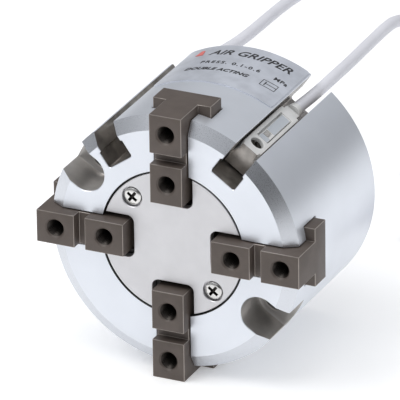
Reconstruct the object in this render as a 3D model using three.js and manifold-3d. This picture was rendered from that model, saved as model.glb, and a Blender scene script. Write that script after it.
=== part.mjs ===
// Pneumatic parallel gripper with four fingers, two auto switches and their leads.
// Units are millimetres, +Z is up. The gripper lies on its side: its axis runs along Y,
// its fingers face -Y, and its lowest finger touches z = 0.
import * as THREE from 'three';
import { mergeVertices } from 'three/addons/utils/BufferGeometryUtils.js';
import Module from 'manifold-3d';

const wasm = await Module();
wasm.setup();

// ---------------------------------------------------------------- driving dimensions
// Axial places are measured from the rear face of the body towards the fingers.
const bodyRadius = 28;
const bodyLength = 40;
const frontChamfer = { radial: 2.9, axial: 1.8 };
const rearChamfer = 0.5;
const pistonTravel = 5;
const fingerTravel = 4;
const wedgeRatio = fingerTravel / pistonTravel;

const boreRadius = 16;
const capSeat = { radius: 17, depth: 5.8 };
const ringGroove = { radius: 17.9, from: 1.0, to: 2.4 };
const partition = { from: 17.8, to: 22 };
const rodSealGroove = { radius: 8.9, from: 19, to: 21 };
const rodBore = 7;
const camBore = 9;
const plateSeat = { radius: 16.05, at: 38 };

const finger = {
  inner: 9.9, outer: 29.6, front: bodyLength + 2.7, halfStem: 3.6, halfRail: 6.5,
  railFrom: 29.3, railTo: 34.5, keyFrom: 18.6, keyTo: 21.04, keyDepth: 2.5,
  holes: [14.3, 25.4], holeRadius: 1.65, holeDepth: 8, sinkRadius: 2.2,
};
const fingerNames = ['finger_right', 'finger_top', 'finger_left', 'finger_bottom'];
const slide = 0.2;                     // clearance of a sliding fit in this model

const cam = { from: 22.7, to: 32.7, halfArm: 3.4, tipFace: 6.4, slotDepth: 2.8 };
const camSlot = { halfFlange: 2.4, flange: 2.0, halfNeck: 1.3 };
const hook = { from: 27.8, to: 31.9, halfFlange: 2.2, flange: 1.6, halfNeck: 1.1 };
const leg = { from: 25.2, outer: 14.2, halfWidth: 3.4 };
const cavity = { halfWidth: 3.8, reach: 18.6 };

const screwCircle = 12.74;
const screwAngles = [135, -45];
const pocket = { angles: [147, -33], radius: 23, halfWidth: 4.05, depth: 9, hole: 2.7 };
const portAngle = 225;
const port = {
  places: [6.9, 16.7], thread: 2.1, bottom: 22, face: 3.9, faceDepth: 0.45, way: 0.7,
};
const dowelHole = { radius: 1.5, depth: 4, place: 22.5 };
const endPlate = { radius: 15.75, gap: 0.25, halfSlot: 4.65, corner: 1.5, slotFrom: 8.7 };
const plateScrew = {
  thread: 0.85, bottom: 33, head: 1.95, headFrom: 39, headTo: 39.5, crown: 1.6,
  tapped: 1.05, clearance: 1.1, sink: 2.25, sinkFrom: 38.85, crossReach: 1.1, crossHalf: 0.2,
};
const retainingRing = {
  inner: 16, outer: 17.7, from: 1.2, to: 2.2, halfOpening: 13,
  ear: 1.9, earPlace: 15.5, eye: 0.8, eyePlace: 15.3,
};
const rearCap = { radius: 16.75, edge: 0.3, from: 2.5, to: 5.6, dish: 9.8, dishDepth: 0.8,
  sealFloor: 15.3, sealFrom: 3.3, sealTo: 4.9, centreHole: 1.25 };
const piston = {
  radius: 15.75, from: 6.4, to: 12.4, seatFloor: 13.2, sealFrom: 7.6, sealTo: 9.2,
  magnetFrom: 9.6, magnetTo: 11.6, rod: 6.7, rodTo: 22.4, bore: 2.15, sink: 3.9, sinkTo: 10.6,
};
const grooveAngles = { right: 55, left: 125 };
const groove = { floor: 19.9, halfChamber: 3.1, wall: 23.65, shoulder: 23.9, halfSlot: 2.7 };
const label = { inner: 28.1, outer: 28.25, halfAngle: 28.5, from: 0.6, to: 20 };

const autoSwitch = {
  length: 22, front: { right: 34.1, left: 30.1 }, foot: 20.3, flange: 23.2, neck: 23.95,
  top: 26.35, halfFoot: 2.85, halfTop: 2.3, screwBack: 3.5, screwHole: 1.5, screw: 1.35,
  window: { from: 9.7, to: 7.7, half: 0.7, depth: 0.5 },
};
const grommetLength = 2;
const leadRadius = 1.3;
const leadAxis = 24.9;                 // distance of a lead's axis from the gripper's axis
// A coil's turns lie in two columns and two layers, with one more turn on the outer column.
const coil = { inner: 11.25, outer: 16.6, layers: 5.7, topInner: 13.85, top: 8.3 };
const coilCentres = { right: [31.2, 70], left: [17.8, 100.9] };
const axisHeight = finger.outer;
const rearFaceY = finger.front / 2;    // the model is centred front to back on y = 0

// Routes of the leads, from the grommet to where the coil takes over.
const leadRoutes = {
  right: [
    [14.5, 15, 50], [14.7, 22, 49.9], [14.9, 30, 50.1], [15, 38, 50.2], [15, 46, 50.4],
    [15, 52, 50.5], [15, 57, 50.5], [15.2, 61, 50.2], [15.8, 65, 48.9], [16.6, 67.8, 46.9],
    [17.4, 70.3, 43.9], [18, 73, 39.4], [18.8, 75.8, 34], [19.9, 78.3, 28.6], [21.6, 80.6, 23],
    [23.8, 82.8, 17.4], [26.5, 84.5, 12.6], [28.6, 85, 10.5],
  ],
  left: [
    [-14.2, 19.5, 50], [-13.9, 25, 49.8], [-13.4, 31, 49.3], [-12.7, 38, 48.8],
    [-12.3, 45, 48.5], [-12.3, 52, 48.3], [-12.4, 58, 48.1], [-12.3, 64, 48],
    [-11.5, 70, 48.2], [-9.9, 76, 48.4], [-7.6, 81.7, 47.7], [-5, 87, 46.2], [-2.5, 91.6, 44.6],
    [-0.1, 96.2, 42.2], [2, 100.8, 38], [4.2, 105.4, 31.6], [6.8, 109.7, 24],
    [9.9, 113.3, 17.2], [13.1, 115.4, 12.6], [15.2, 115.9, 10.5],
  ],
};
// The tail of each lead leaves its coil along the floor; its cores fan out at the end.
const tails = {
  right: { from: [46.4, 60], to: [46.4, 53], across: [1, 0], along: [0, -1] },
  left: { from: [27.8, 116.1], to: [34.8, 116.1], across: [0, 1], along: [1, 0] },
};
const coreLength = 11.5;
const coreRadius = 0.4;

// ---------------------------------------------------------------- shape helpers
function toSolid(geometry) {
  const bare = geometry.clone();
  bare.deleteAttribute('normal');
  bare.deleteAttribute('uv');
  const merged = mergeVertices(bare, 1e-4);
  const corners = merged.index.array;
  const kept = [];
  for (let i = 0; i < corners.length; i += 3) {
    const [a, b, c] = [corners[i], corners[i + 1], corners[i + 2]];
    if (a !== b && b !== c && c !== a) kept.push(a, b, c);
  }
  return new wasm.Manifold(new wasm.Mesh({
    numProp: 3,
    vertProperties: new Float32Array(merged.attributes.position.array),
    triVerts: new Uint32Array(kept),
  }));
}

function toGeometry(solid) {
  const result = solid.getMesh();
  const geometry = new THREE.BufferGeometry();
  geometry.setAttribute('position', new THREE.BufferAttribute(result.vertProperties, 3));
  geometry.setIndex(new THREE.BufferAttribute(result.triVerts, 1));
  geometry.computeVertexNormals();
  return geometry;
}

function join(...geometries) {
  return toGeometry(geometries.map(toSolid).reduce((sum, piece) => sum.add(piece)));
}

function cut(base, ...tools) {
  const removed = tools.map(toSolid).reduce((sum, piece) => sum.add(piece));
  return toGeometry(toSolid(base).subtract(removed));
}

// A profile of [radius, axial place] points, anticlockwise, turned about the Z axis.
function turned(profile, segments = 72) {
  const points = profile.map(([radius, place]) => new THREE.Vector2(radius, place));
  if (points[0].x > 0 || points.at(-1).x > 0) points.push(points[0].clone());
  return new THREE.LatheGeometry(points, segments).rotateX(Math.PI / 2);
}

function block(xs, ys, zs) {
  const box = new THREE.BoxGeometry(xs[1] - xs[0], ys[1] - ys[0], zs[1] - zs[0]);
  return box.translate((xs[0] + xs[1]) / 2, (ys[0] + ys[1]) / 2, (zs[0] + zs[1]) / 2);
}

// A cylinder along Z, or a cone frustum when a second radius is given.
function rod(radius, from, to, segments = 20, endRadius = radius) {
  const shape = new THREE.CylinderGeometry(endRadius, radius, to - from, segments);
  return shape.rotateX(Math.PI / 2).translate(0, 0, (from + to) / 2);
}

// A cylinder along +X at an axial place.
function radialRod(radius, from, to, place, segments = 20) {
  return rod(radius, from, to, segments).rotateY(Math.PI / 2).translate(0, 0, place);
}

function outline(points) {
  return new THREE.Shape(points.map(([x, y]) => new THREE.Vector2(x, y)));
}

function extruded(shape, from, to, curveSegments = 8) {
  const options = { depth: to - from, bevelEnabled: false, curveSegments };
  return new THREE.ExtrudeGeometry(shape, options).translate(0, 0, from);
}

// A polygon of [radial, axial] points, extruded across the radial direction.
function radialPlate(points, halfWidth) {
  const flat = extruded(outline(points), -halfWidth, halfWidth);
  return flat.rotateX(Math.PI / 2);
}

function spun(geometry, degrees) {
  return geometry.clone().rotateZ(THREE.MathUtils.degToRad(degrees));
}

function circle(radius, sides) {
  const points = [];
  for (let i = 0; i < sides; i += 1) {
    const angle = (2 * Math.PI * i) / sides;
    points.push([radius * Math.cos(angle), radius * Math.sin(angle)]);
  }
  return outline(points);
}

function tube(points, radius, sides, steps) {
  const extrudePath = new THREE.CatmullRomCurve3(points.map((p) => new THREE.Vector3(...p)));
  const options = { steps, extrudePath, bevelEnabled: false };
  return new THREE.ExtrudeGeometry(circle(radius, sides), options);
}

// ---------------------------------------------------------------- materials and meshes
const finishes = {
  anodised: { color: 0xdfe3ea, roughness: 0.38, metalness: 0.55 },
  stainless: { color: 0xc9c9cc, roughness: 0.34, metalness: 0.8 },
  hardenedSteel: { color: 0x6b6259, roughness: 0.42, metalness: 0.7 },
  brightSteel: { color: 0xd8d6d2, roughness: 0.25, metalness: 0.9 },
  springSteel: { color: 0x55575b, roughness: 0.35, metalness: 0.8 },
  rubber: { color: 0x1c1c1e, roughness: 0.7, metalness: 0 },
  magnet: { color: 0x3c3c40, roughness: 0.6, metalness: 0.3 },
  foil: { color: 0xd5d8e0, roughness: 0.3, metalness: 0.6 },
  resin: { color: 0xe6e7e6, roughness: 0.45, metalness: 0 },
  lamp: { color: 0xd8503c, roughness: 0.2, metalness: 0 },
  sheath: { color: 0xc9c9d2, roughness: 0.5, metalness: 0 },
  brownCore: { color: 0x6b4226, roughness: 0.5, metalness: 0 },
  blackCore: { color: 0x1d1d1f, roughness: 0.5, metalness: 0 },
  blueCore: { color: 0x2e6fb7, roughness: 0.5, metalness: 0 },
};

function part(name, geometry, finish) {
  const clean = toGeometry(toSolid(geometry));
  const mesh = new THREE.Mesh(clean, new THREE.MeshStandardMaterial(finishes[finish]));
  mesh.name = name;
  return mesh;
}

// ---------------------------------------------------------------- body and rear closure
function grooveOutline() {
  const { floor, halfChamber, wall, shoulder, halfSlot } = groove;
  const beyond = bodyRadius + 2;
  return outline([
    [floor, -halfChamber], [wall, -halfChamber], [shoulder, -halfSlot], [beyond, -halfSlot],
    [beyond, halfSlot], [shoulder, halfSlot], [wall, halfChamber], [floor, halfChamber],
  ]);
}

function pocketOutline() {
  const { radius, halfWidth } = pocket;
  const beyond = bodyRadius + 2;
  const shape = new THREE.Shape();
  shape.moveTo(beyond, -halfWidth);
  shape.lineTo(beyond, halfWidth);
  shape.lineTo(radius, halfWidth);
  shape.absarc(radius, 0, halfWidth, Math.PI / 2, 1.5 * Math.PI, false);
  return shape;
}

function bodyGeometry() {
  const front = bodyLength;
  const blank = turned([
    [bodyRadius - rearChamfer, 0], [bodyRadius, rearChamfer],
    [bodyRadius, front - frontChamfer.axial], [bodyRadius - frontChamfer.radial, front],
    [plateSeat.radius, front], [plateSeat.radius, plateSeat.at], [camBore, plateSeat.at],
    [camBore, partition.to], [rodBore, partition.to], [rodBore, rodSealGroove.to],
    [rodSealGroove.radius, rodSealGroove.to], [rodSealGroove.radius, rodSealGroove.from],
    [rodBore, rodSealGroove.from], [rodBore, partition.from], [boreRadius, partition.from],
    [boreRadius, capSeat.depth], [capSeat.radius, capSeat.depth],
    [capSeat.radius, ringGroove.to], [ringGroove.radius, ringGroove.to],
    [ringGroove.radius, ringGroove.from], [capSeat.radius, ringGroove.from],
    [capSeat.radius, 0],
  ]);
  const beyond = bodyRadius + 2;
  const tools = [];
  for (let quarter = 0; quarter < 4; quarter += 1) {
    const halfStem = finger.halfStem + slide;
    const halfRail = finger.halfRail + slide;
    const stem = block([5, beyond], [-halfStem, halfStem], [finger.railFrom, front + 1]);
    const rail = block([5, beyond], [-halfRail, halfRail],
      [finger.railFrom - slide, finger.railTo + slide]);
    const camRoom = block([0, cavity.reach], [-cavity.halfWidth, cavity.halfWidth],
      [partition.to, front + 1]);
    for (const tool of [stem, rail, camRoom]) tools.push(spun(tool, 90 * quarter));
  }
  for (const angle of Object.values(grooveAngles)) {
    tools.push(spun(extruded(grooveOutline(), -1, front + 1), angle));
  }
  for (const angle of pocket.angles) {
    const hole = rod(pocket.hole, -1, front - pocket.depth + 1).translate(pocket.radius, 0, 0);
    tools.push(spun(extruded(pocketOutline(), front - pocket.depth, front + 1, 10), angle));
    tools.push(spun(hole, angle));
  }
  for (const place of port.places) {
    tools.push(spun(radialRod(port.thread, port.bottom, beyond, place), portAngle));
    const spotFace = radialRod(port.face, bodyRadius - port.faceDepth, beyond, place);
    tools.push(spun(spotFace, portAngle));
    const way = radialRod(port.way, boreRadius - 1, port.bottom + 1, place, 10);
    tools.push(spun(way, portAngle));
  }
  for (const angle of screwAngles) {
    const tapped = rod(plateScrew.tapped, plateScrew.bottom - 1, front, 12);
    tools.push(spun(tapped.translate(screwCircle, 0, 0), angle));
  }
  tools.push(rod(dowelHole.radius, -1, dowelHole.depth, 16).translate(dowelHole.place, 0, 0));
  return cut(blank, ...tools);
}

function rearCapGeometry() {
  const { radius, edge, from, to, dish, dishDepth, sealFloor, sealFrom, sealTo } = rearCap;
  const disc = turned([
    [0, from + dishDepth], [dish, from + dishDepth], [dish + 0.6, from], [radius - edge, from],
    [radius, from + edge], [radius, sealFrom], [sealFloor, sealFrom], [sealFloor, sealTo],
    [radius, sealTo], [radius, to - edge], [radius - edge, to], [0, to],
  ], 48);
  return cut(disc, rod(rearCap.centreHole, from - 0.5, to - 0.8, 12));
}

// A ring with a round section: an O-ring.
function roundRing(centreRadius, place, sectionRadius) {
  const profile = [];
  const corners = 8;
  for (let i = 0; i < corners; i += 1) {
    const angle = (2 * Math.PI * (i + 0.5)) / corners;
    profile.push([
      centreRadius + sectionRadius * Math.cos(angle),
      place + sectionRadius * Math.sin(angle),
    ]);
  }
  return turned(profile, 40);
}

function squareRing(inner, outer, from, to, segments = 48) {
  return turned([[inner, from], [outer, from], [outer, to], [inner, to]], segments);
}

function retainingRingGeometry() {
  const { inner, outer, from, to, halfOpening, ear, earPlace, eye, eyePlace } = retainingRing;
  const opening = THREE.MathUtils.degToRad(halfOpening);
  const ring = new THREE.Shape();
  ring.absarc(0, 0, outer, opening, 2 * Math.PI - opening, false);
  ring.absarc(0, 0, inner, 2 * Math.PI - opening, opening, true);
  const ends = [halfOpening, -halfOpening];
  const ears = ends.map((angle) => spun(rod(ear, from, to, 16).translate(earPlace, 0, 0), angle));
  const eyes = ends.map((angle) => spun(rod(eye, 0, 3, 10).translate(eyePlace, 0, 0), angle));
  return spun(cut(join(extruded(ring, from, to, 24), ...ears), ...eyes), 90);
}

// ---------------------------------------------------------------- end plate and its screws
function endPlateGeometry() {
  const { radius, gap, halfSlot, corner, slotFrom } = endPlate;
  const disc = rod(radius, plateSeat.at + gap, bodyLength, 72);
  const beyond = radius + 2;
  const slot = new THREE.Shape();
  slot.moveTo(beyond, -halfSlot);
  slot.lineTo(beyond, halfSlot);
  slot.lineTo(slotFrom + corner, halfSlot);
  slot.absarc(slotFrom + corner, halfSlot - corner, corner, Math.PI / 2, Math.PI, false);
  slot.absarc(slotFrom + corner, corner - halfSlot, corner, Math.PI, 1.5 * Math.PI, false);
  const tools = [];
  for (let quarter = 0; quarter < 4; quarter += 1) {
    tools.push(spun(extruded(slot, plateSeat.at, bodyLength + 1, 5), 90 * quarter));
  }
  const { clearance, sink, sinkFrom } = plateScrew;
  const through = rod(clearance, plateSeat.at - 1, bodyLength + 1, 12);
  const seat = rod(sink, sinkFrom, bodyLength + 1, 24);
  for (const tool of [through, seat]) {
    tool.translate(screwCircle, 0, 0);
    for (const angle of screwAngles) tools.push(spun(tool, angle));
  }
  return cut(disc, ...tools);
}

function plateScrewGeometry() {
  const { thread, bottom, head, headFrom, headTo, crown, crossReach, crossHalf } = plateScrew;
  const screw = turned([
    [0, bottom], [thread, bottom], [thread, headFrom], [head, headFrom], [head, headTo],
    [crown, headTo + 0.35], [0, headTo + 0.45],
  ], 20);
  const arms = [[crossReach, crossHalf], [crossHalf, crossReach]]
    .map(([x, y]) => block([-x, x], [-y, y], [headTo - 0.1, bodyLength + 1]));
  return cut(screw, ...arms);
}

// ---------------------------------------------------------------- piston, its rings, the cam
function pistonGeometry() {
  const { radius, from, to, seatFloor, sealFrom, sealTo, magnetFrom, magnetTo } = piston;
  return turned([
    [piston.sink, from], [radius - 0.95, from], [radius, from + 0.9], [radius, sealFrom],
    [seatFloor, sealFrom], [seatFloor, sealTo], [radius, sealTo], [radius, magnetFrom],
    [seatFloor, magnetFrom], [seatFloor, magnetTo], [radius, magnetTo], [radius, to - 0.4],
    [radius - 0.4, to], [piston.rod, to], [piston.rod, piston.rodTo - 0.3],
    [piston.rod - 0.3, piston.rodTo], [piston.bore, piston.rodTo], [piston.bore, piston.sinkTo],
    [piston.sink, piston.sinkTo],
  ], 48);
}

function pistonBoltGeometry() {
  const bolt = turned([[0, 6.9], [3.2, 6.9], [3.5, 7.2], [3.5, 10.4], [1.9, 10.4], [1.9, 28],
    [0, 28]], 20);
  return cut(bolt, rod(1.7, 6, 9, 6));
}

// Distance of the cam's sloping face from the axis, closed.
function camFace(place) {
  return cam.tipFace + wedgeRatio * (cam.to - place);
}

// A band that follows the slope of the cam, between two distances below its face.
function slopedBand(from, to, under, over, halfWidth) {
  return radialPlate([
    [camFace(from) + under, from], [camFace(from) + over, from],
    [camFace(to) + over, to], [camFace(to) + under, to],
  ], halfWidth);
}

function camGeometry() {
  const arm = radialPlate([
    [-1, cam.from], [camFace(cam.from), cam.from], [camFace(cam.to), cam.to], [-1, cam.to],
  ], cam.halfArm);
  const floor = -cam.slotDepth;
  const [below, above] = [cam.from - 1, cam.to + 1];
  const flange = slopedBand(below, above, floor, floor + camSlot.flange, camSlot.halfFlange);
  const neck = slopedBand(below, above, floor + 1, 2, camSlot.halfNeck);
  const quarters = [0, 90, 180, 270];
  const arms = quarters.map((angle) => spun(arm, angle));
  const slots = quarters.flatMap((angle) => [spun(flange, angle), spun(neck, angle)]);
  return cut(join(...arms), ...slots, rod(piston.bore, cam.from - 1, cam.to + 1));
}

// ---------------------------------------------------------------- fingers
function fingerGeometry() {
  const { inner, outer, front, halfStem, halfRail, railFrom, railTo } = finger;
  const stem = block([inner, outer], [-halfStem, halfStem], [railTo - 1, front]);
  const rail = block([inner, outer], [-halfRail, halfRail], [railFrom, railTo]);
  const gap = 0.25;
  const legTop = railTo - 1.5;
  const legShape = radialPlate([
    [camFace(leg.from) + gap, leg.from], [leg.outer, leg.from], [leg.outer, legTop],
    [inner + 0.5, legTop], [camFace(hook.to) + gap, hook.to],
  ], leg.halfWidth);
  const floor = 0.2 - cam.slotDepth;
  const flange = slopedBand(hook.from, hook.to, floor, floor + hook.flange, hook.halfFlange);
  const neck = slopedBand(hook.from, hook.to, floor + 1, gap + 0.3, hook.halfNeck);
  const key = block([finger.keyFrom, finger.keyTo], [-halfRail, halfRail],
    [front - finger.keyDepth, front + 1]);
  const tools = [key];
  for (const place of finger.holes) {
    const sink = finger.sinkRadius - finger.holeRadius;
    tools.push(rod(finger.holeRadius, front - finger.holeDepth, front).translate(place, 0, 0));
    tools.push(rod(finger.holeRadius, front - sink, front + 0.1, 20, finger.sinkRadius + 0.1)
      .translate(place, 0, 0));
  }
  return cut(join(stem, rail, legShape, flange, neck), ...tools);
}

// ---------------------------------------------------------------- label and auto switches
function labelGeometry() {
  const [start, end] = [90 - label.halfAngle, 90 + label.halfAngle].map(THREE.MathUtils.degToRad);
  const shape = new THREE.Shape();
  shape.absarc(0, 0, label.outer, start, end, false);
  shape.absarc(0, 0, label.inner, end, start, true);
  return extruded(shape, label.from, label.to, 19);
}

function switchGeometry(front) {
  const { length, foot, flange, neck, top, halfFoot, halfTop, window } = autoSwitch;
  const body = extruded(outline([
    [foot, -halfFoot], [flange, -halfFoot], [neck, -halfTop], [top, -halfTop],
    [top, halfTop], [neck, halfTop], [flange, halfFoot], [foot, halfFoot],
  ]), front - length, front);
  const place = front - autoSwitch.screwBack;
  const screwHole = radialRod(autoSwitch.screwHole, neck, top + 1, place);
  const recess = block([top - window.depth, top + 1], [-window.half, window.half],
    [front - window.from, front - window.to]);
  return cut(body, screwHole, recess);
}

function switchScrewGeometry(front) {
  const { neck, top, screwBack, screw } = autoSwitch;
  const place = front - screwBack;
  const slot = block([top - 1.1, top], [-0.2, 0.2], [place - 2, place + 2]);
  return cut(radialRod(screw, neck + 0.1, top - 0.6, place, 16), slot);
}

function lampGeometry(front) {
  const { top, window } = autoSwitch;
  const edge = 0.2;
  return block([top - window.depth + 0.15, top - 0.05], [edge - window.half, window.half - edge],
    [front - window.from + edge, front - window.to - edge]);
}

function grommetGeometry(front) {
  const start = front - autoSwitch.length - 0.2;
  return rod(1.5, start - grommetLength, start, 16, 1.75).translate(leadAxis, 0, 0);
}

function addSwitch(group, side) {
  const front = autoSwitch.front[side];
  const turn = THREE.MathUtils.degToRad(grooveAngles[side]);
  const pieces = [
    part(`auto_switch_${side}`, switchGeometry(front), 'resin'),
    part(`switch_screw_${side}`, switchScrewGeometry(front), 'brightSteel'),
    part(`switch_lamp_${side}`, lampGeometry(front), 'lamp'),
    part(`cable_grommet_${side}`, grommetGeometry(front), 'resin'),
  ];
  for (const piece of pieces) {
    piece.rotation.z = turn;
    group.add(piece);
  }
}

// ---------------------------------------------------------------- leads, coils and cores
function leadStart(side) {
  const turn = THREE.MathUtils.degToRad(grooveAngles[side]);
  const grommetEnd = autoSwitch.front[side] - autoSwitch.length - 0.2 - grommetLength;
  return [
    leadAxis * Math.cos(turn), rearFaceY - grommetEnd + 0.3,
    axisHeight + leadAxis * Math.sin(turn),
  ];
}

function addLead(group, side) {
  const route = [leadStart(side), ...leadRoutes[side]];
  group.add(part(`lead_${side}`, tube(route, leadRadius, 8, 28), 'sheath'));

  const { inner, outer, layers, topInner, top } = coil;
  const ring = part(`lead_coil_${side}`, turned([
    [inner, 0], [outer, 0], [outer, top], [topInner, top], [topInner, layers], [inner, layers],
  ], 40), 'sheath');
  ring.position.set(...coilCentres[side], 0);
  group.add(ring);

  const { from, to, across, along } = tails[side];
  const height0 = leadRadius + 0.35;
  const tailPath = [[...from, height0], [(from[0] + to[0]) / 2, (from[1] + to[1]) / 2, height0],
    [...to, height0 - 0.1]];
  group.add(part(`lead_tail_${side}`, tube(tailPath, leadRadius, 8, 2), 'sheath'));

  const cores = { brown: -1, black: 0, blue: 1 };
  for (const [colour, place] of Object.entries(cores)) {
    const path = [0.3, 3, 7, coreLength].map((run, step) => {
      const spread = place * (0.85 + 0.2 * step);
      return [
        to[0] + along[0] * run + across[0] * spread,
        to[1] + along[1] * run + across[1] * spread,
        height0 - 0.15 - 0.28 * step,
      ];
    });
    group.add(part(`core_${colour}_${side}`, tube(path, coreRadius, 6, 4), `${colour}Core`));
  }
}

// ---------------------------------------------------------------- assembly
const gripper = new THREE.Group();
gripper.rotation.x = Math.PI / 2;
gripper.position.set(0, rearFaceY, axisHeight);

gripper.add(part('body', bodyGeometry(), 'anodised'));
gripper.add(part('rear_cap', rearCapGeometry(), 'anodised'));
gripper.add(part('rear_cap_seal', roundRing(16.1, 4.1, 0.7), 'rubber'));
gripper.add(part('rear_retaining_ring', retainingRingGeometry(), 'springSteel'));
gripper.add(part('rod_seal', squareRing(6.85, 8.75, 19.2, 20.8), 'rubber'));
gripper.add(part('end_plate', endPlateGeometry(), 'stainless'));
screwAngles.forEach((angle, index) => {
  const holder = new THREE.Group();
  holder.rotation.z = THREE.MathUtils.degToRad(angle);
  const screw = part(`end_plate_screw_${index + 1}`, plateScrewGeometry(), 'brightSteel');
  screw.position.x = screwCircle;
  holder.add(screw);
  gripper.add(holder);
});
gripper.add(part('label', labelGeometry(), 'foil'));

gripper.add(part('piston', pistonGeometry(), 'anodised'));
gripper.add(part('piston_magnet', squareRing(13.4, 15.5, 7.75, 9.05), 'magnet'));
gripper.add(part('piston_seal', squareRing(13.35, 15.85, 9.75, 11.45), 'rubber'));
gripper.add(part('piston_bolt', pistonBoltGeometry(), 'brightSteel'));
gripper.add(part('wedge_cam', camGeometry(), 'hardenedSteel'));

fingerNames.forEach((name, quarter) => {
  const mesh = part(name, fingerGeometry(), 'hardenedSteel');
  mesh.rotation.z = (quarter * Math.PI) / 2;
  gripper.add(mesh);
});

const leads = new THREE.Group();
for (const side of ['right', 'left']) {
  addSwitch(gripper, side);
  addLead(leads, side);
}

const object = new THREE.Group();
object.add(gripper, leads);

export default object;
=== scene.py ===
# Looks of a four-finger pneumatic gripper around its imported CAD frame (Blender 4.5).
# Shapes are built in millimetres in gripper coordinates: x to the right, y up from the
# gripper's axis, z from the rear face towards the fingers. place() takes them to the frame.
import math

import bmesh
import bpy
from mathutils import Matrix, Vector


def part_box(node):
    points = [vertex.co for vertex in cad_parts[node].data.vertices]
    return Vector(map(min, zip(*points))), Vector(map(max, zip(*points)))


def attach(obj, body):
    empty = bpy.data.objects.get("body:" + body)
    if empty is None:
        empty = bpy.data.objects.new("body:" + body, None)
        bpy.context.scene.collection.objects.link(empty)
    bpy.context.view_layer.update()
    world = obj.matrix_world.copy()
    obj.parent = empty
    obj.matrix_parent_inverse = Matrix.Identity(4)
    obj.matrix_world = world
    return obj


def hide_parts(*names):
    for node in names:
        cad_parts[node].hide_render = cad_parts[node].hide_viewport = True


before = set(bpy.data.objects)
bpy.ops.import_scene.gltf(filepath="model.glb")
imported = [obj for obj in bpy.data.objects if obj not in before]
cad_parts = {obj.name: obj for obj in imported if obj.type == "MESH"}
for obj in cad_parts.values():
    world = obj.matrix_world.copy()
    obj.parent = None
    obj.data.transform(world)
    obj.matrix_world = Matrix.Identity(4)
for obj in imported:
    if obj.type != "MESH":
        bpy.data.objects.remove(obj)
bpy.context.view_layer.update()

# ------------------------------------------------------------------ sizes, millimetres
MM = 0.001
body_low, body_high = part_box("body")
finger_low, finger_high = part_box("finger_right")
AXIS_X = (body_low[0] + body_high[0]) / 2
AXIS_Z = (body_low[2] + body_high[2]) / 2
REAR_Y = body_high[1]
BODY_RADIUS = (body_high[0] - body_low[0]) / 2 / MM
BODY_LENGTH = (body_high[1] - body_low[1]) / MM
FINGER_OUTER = (finger_high[0] - AXIS_X) / MM
FINGER_FRONT = (REAR_Y - finger_low[1]) / MM

CHAMFER_RADIAL = 2.9
CHAMFER_AXIAL = 1.8
REAR_CHAMFER = 0.5
EDGE = 0.13                      # broken edges of machined parts
CLEARANCE = 0.2

BORE_RADIUS, BORE_TO = 16, 17.8
CAP_SEAT_RADIUS, CAP_SEAT_TO, CAP_SEAT_EDGE = 17, 5.8, 0.3
RING_GROOVE_RADIUS, RING_GROOVE_FROM, RING_GROOVE_TO = 17.9, 1.0, 2.4
ROD_BORE, ROD_SEAL_RADIUS, ROD_SEAL_FROM, ROD_SEAL_TO = 7, 8.9, 19, 21
CAM_BORE, CAM_BORE_FROM = 9, 22
PLATE_SEAT_RADIUS, PLATE_SEAT_FROM = 16.05, 38

STEM_HALF = 3.6
RAIL_HALF = 6.5
RAIL_FROM, RAIL_TO = 29.3, 34.5
FINGER_INNER = 9.9
KEY_FROM, KEY_TO, KEY_DEPTH = 18.6, 21.04, 2.5
HOLE_PLACES = (14.3, 25.4)
HOLE_MINOR, HOLE_MAJOR, HOLE_PITCH, HOLE_DEPTH = 1.65, 2.0, 0.7, 8.0
SINK_RADIUS = 2.2

CAM_TO, CAM_TIP, CAM_SLOPE = 32.7, 6.4, 0.8
HOOK_FROM, HOOK_TO = 27.8, 31.9
LEG_FROM, LEG_TO, LEG_OUTER, LEG_HALF = 25.2, 33, 14.2, 3.4
FINGER_EDGE = 0.13
CAM_GAP, HOOK_FLOOR, HOOK_THICK, HOOK_HALF, NECK_HALF = 0.25, -2.6, 1.6, 2.2, 1.1
CAVITY_HALF, CAVITY_REACH = 3.8, 18.6

PLATE_RADIUS, PLATE_FROM = 15.75, 38.25
PLATE_SLOT_HALF, PLATE_SLOT_START, PLATE_SLOT_CORNER = 4.65, 8.7, 1.5
SCREW_CIRCLE = 12.74
SCREW_SEATS = ((2.25, 38.85), (1.1, 37))     # radius, and how deep each step of a hole goes
CROSS_ANGLES, CROSS_REACH, CROSS_HALF = (8, 98), 1.2, 0.24
SCREW_ANGLES = (135, -45)

POCKET_ANGLES = (147, -33)
POCKET_RADIUS, POCKET_HALF, POCKET_DEPTH, POCKET_HOLE = 23, 4.05, 9, 2.7
GROOVE_ANGLES = {"right": 55, "left": 125}
GROOVE_FLOOR, GROOVE_CHAMBER, GROOVE_WALL = 19.9, 3.1, 23.65
GROOVE_SHOULDER, GROOVE_SLOT = 23.9, 2.7
PORT_ANGLE, PORT_PLACES = 225, (6.9, 16.7)
PORT_MINOR, PORT_MAJOR, PORT_PITCH, PORT_BOTTOM, PORT_SINK = 2.1, 2.5, 0.8, 22, 2.75
PORT_FACE, PORT_FACE_DEPTH, DUCT_RADIUS = 3.9, 0.45, 0.7
DOWEL_RADIUS, DOWEL_DEPTH, DOWEL_PLACE = 1.5, 4, 22.5

LABEL_RADIUS, LABEL_FILM, LABEL_HALF_ANGLE = 28.0, 0.2, 28.5
LABEL_FROM, LABEL_TO = 0.6, 20.0

SWITCH_LENGTH = 22
SWITCH_FRONT = {"right": 34.1, "left": 30.1}
SWITCH_FOOT, SWITCH_FLANGE, SWITCH_NECK, SWITCH_TOP = 20.3, 23.2, 23.95, 26.35
SWITCH_HALF_FOOT, SWITCH_HALF = 2.85, 2.3
SWITCH_SCREW_BACK, SWITCH_SCREW_HOLE, SWITCH_SCREW = 3.5, 1.5, 1.35
GROMMET_LENGTH, GROMMET_GAP = 2, 0.2
WINDOW_FROM, WINDOW_TO = 9.7, 7.7

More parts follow.
